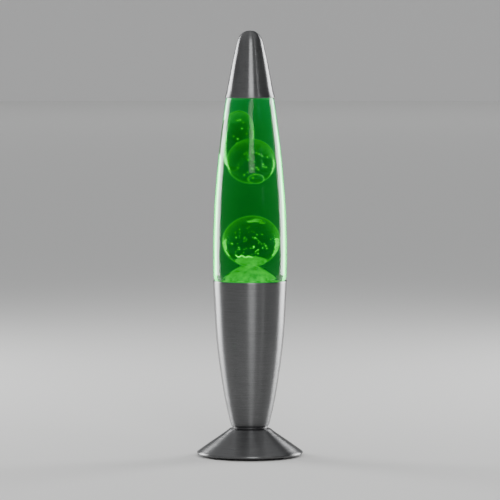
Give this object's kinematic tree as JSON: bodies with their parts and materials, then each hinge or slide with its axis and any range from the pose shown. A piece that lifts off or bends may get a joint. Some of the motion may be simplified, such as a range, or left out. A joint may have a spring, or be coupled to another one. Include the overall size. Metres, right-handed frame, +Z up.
{
  "type": "lava lamp",
  "caption": "Bullet-shaped lava lamp: tapered glass bottle of green liquid and wax in a flared spun aluminium base, under a spun aluminium cap.",
  "frame": {"origin": "on the table under the lamp's axis", "axes": "+Z up along the lamp's axis, -Y towards the front, the cord gland at the back on +Y"},
  "size_m": [0.085, 0.085, 0.34],
  "materials": {
    "spun_aluminium": "satin",
    "black_plastic": "satin",
    "rubber": "matte",
    "steel": "satin",
    "pale_plastic": "satin",
    "brass": "satin",
    "brown_insulation": "satin",
    "blue_insulation": "satin",
    "clear_glass": "polished",
    "green_liquid": "polished",
    "green_wax": "satin"
  },
  "bodies": {
    "base": {"base_cone": "spun_aluminium", "base_foot": "spun_aluminium", "waist_ring": "black_plastic", "bottom_plate": "black_plastic", "rubber_foot_1": "rubber", "rubber_foot_2": "rubber", "rubber_foot_3": "rubber", "rubber_foot_4": "rubber", "threaded_tube": "steel", "foot_washer": "steel", "foot_nut": "steel", "holder_nut": "steel", "holder_cap": "pale_plastic", "holder_body": "pale_plastic", "holder_screw_shell": "brass", "holder_centre_contact": "brass", "holder_terminal_live": "brass", "holder_terminal_neutral": "brass", "terminal_block": "pale_plastic", "terminal_screw_live": "brass", "terminal_screw_neutral": "brass", "lead_live": "brown_insulation", "lead_neutral": "blue_insulation", "cord_gland": "black_plastic"},
    "bottle": {"glass_bottle": "clear_glass", "crown_liner": "pale_plastic", "crown_cap": "steel", "heating_coil": "steel", "liquid": "green_liquid", "wax_pool": "green_wax"},
    "cap": {"cap_shell": "spun_aluminium"},
    "bulb_foot": {"bulb_tip_contact": "steel"},
    "bulb": {"bulb_insulator": "black_plastic", "bulb_screw_shell": "brass", "bulb_envelope": "clear_glass", "bulb_stem": "clear_glass", "bulb_support_1": "steel", "bulb_support_2": "steel", "bulb_filament": "steel"},
    "blob_lower": {"wax_blob_lower": "green_wax"},
    "blob_middle": {"wax_blob_middle": "green_wax"},
    "blob_upper": {"wax_blob_upper": "green_wax"}
  },
  "joints": [
    {"name": "bottle_lift", "type": "slide", "parent": "base", "child": "bottle", "axis": [0, 0, 1], "range_m": [0, 0.12]},
    {"name": "cap_lift", "type": "slide", "parent": "bottle", "child": "cap", "axis": [0, 0, 1], "range_m": [0, 0.07]},
    {"name": "bulb_rise", "type": "slide", "parent": "base", "child": "bulb_foot", "axis": [0, 0, 1], "range_m": [0, 0.00847]},
    {"name": "bulb_unscrew", "type": "hinge", "parent": "bulb_foot", "child": "bulb", "pos_m": [0, 0, 0.05], "axis": [0, 0, 1], "range_deg": [0, 1081]},
    {"name": "lower_blob_drift", "type": "slide", "parent": "bottle", "child": "blob_lower", "axis": [0, 0, 1], "range_m": [0, 0.01], "deforming": ["liquid"]},
    {"name": "middle_blob_drift", "type": "slide", "parent": "bottle", "child": "blob_middle", "axis": [0, 0, 1], "range_m": [-0.012, 0], "deforming": ["liquid"]},
    {"name": "upper_blob_drift", "type": "slide", "parent": "bottle", "child": "blob_upper", "axis": [0, 0, 1], "range_m": [0, 0.004], "deforming": ["liquid"]}
  ],
  "couplings": [
    {"joint": "bulb_unscrew", "follows": "bulb_rise", "rad_per_m": 2226.5}
  ]
}
